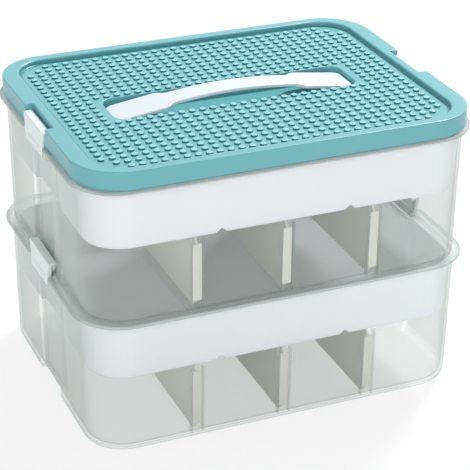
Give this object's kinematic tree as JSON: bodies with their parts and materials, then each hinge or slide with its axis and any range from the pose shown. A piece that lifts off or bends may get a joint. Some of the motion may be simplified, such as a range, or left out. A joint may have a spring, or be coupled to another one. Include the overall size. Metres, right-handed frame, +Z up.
{
  "type": "building block storage box",
  "caption": "Stacking clear storage box for building blocks, with dividers and a lift-out tray in each tier, hinged end latches, and a studded lid with a carrying strap",
  "frame": {"origin": "centre of the underside, on the surface that the box stands on", "axes": "+X along the length towards the right-hand latches, -Y to the front, +Z up"},
  "size_m": [0.305, 0.226, 0.225],
  "materials": {
    "clear_box": "clear polished",
    "milky_tray": "milky satin",
    "frosted_divider": "frosted",
    "white_plastic": "satin",
    "teal_lid": "satin"
  },
  "bodies": {
    "lower_box": {"lower_box": "clear_box"},
    "lower_dividers": {"lower_divider_1": "frosted_divider", "lower_divider_2": "frosted_divider", "lower_divider_3": "frosted_divider"},
    "lower_tray": {"lower_tray": "milky_tray"},
    "lower_latch_left": {"lower_latch_left": "white_plastic"},
    "lower_latch_right": {"lower_latch_right": "white_plastic"},
    "upper_box": {"upper_box": "clear_box"},
    "upper_dividers": {"upper_divider_1": "frosted_divider", "upper_divider_2": "frosted_divider", "upper_divider_3": "frosted_divider"},
    "upper_tray": {"upper_tray": "milky_tray"},
    "upper_latch_left": {"upper_latch_left": "white_plastic"},
    "upper_latch_right": {"upper_latch_right": "white_plastic"},
    "lid": {"lid": "teal_lid"},
    "handle": {"handle": "white_plastic"}
  },
  "joints": [
    {"name": "lower_dividers_lift", "type": "slide", "parent": "lower_box", "child": "lower_dividers", "axis": [0, 0, 1], "range_m": [0, 0.11]},
    {"name": "lower_tray_lift", "type": "slide", "parent": "lower_dividers", "child": "lower_tray", "axis": [0, 0, 1], "range_m": [0, 0.06]},
    {"name": "upper_box_lift", "type": "slide", "parent": "lower_tray", "child": "upper_box", "axis": [0, 0, 1], "range_m": [0, 0.03]},
    {"name": "upper_dividers_lift", "type": "slide", "parent": "upper_box", "child": "upper_dividers", "axis": [0, 0, 1], "range_m": [0, 0.11]},
    {"name": "upper_tray_lift", "type": "slide", "parent": "upper_dividers", "child": "upper_tray", "axis": [0, 0, 1], "range_m": [0, 0.06]},
    {"name": "lid_lift", "type": "slide", "parent": "upper_tray", "child": "lid", "axis": [0, 0, 1], "range_m": [0, 0.03]},
    {"name": "handle_play", "type": "slide", "parent": "lid", "child": "handle", "axis": [0, 0, 1], "range_m": [0, 0.0025]},
    {"name": "lower_latch_left_hinge", "type": "hinge", "parent": "lower_box", "child": "lower_latch_left", "pos_m": [-0.147, 0, 0.0992], "axis": [0, -1, 0], "range_deg": [-3.5, 85]},
    {"name": "lower_latch_right_hinge", "type": "hinge", "parent": "lower_box", "child": "lower_latch_right", "pos_m": [0.147, 0, 0.0992], "axis": [0, 1, 0], "range_deg": [-3.5, 85]},
    {"name": "upper_latch_left_hinge", "type": "hinge", "parent": "upper_box", "child": "upper_latch_left", "pos_m": [-0.147, 0, 0.2014], "axis": [0, -1, 0], "range_deg": [-3.5, 85]},
    {"name": "upper_latch_right_hinge", "type": "hinge", "parent": "upper_box", "child": "upper_latch_right", "pos_m": [0.147, 0, 0.2014], "axis": [0, 1, 0], "range_deg": [-3.5, 85]}
  ]
}
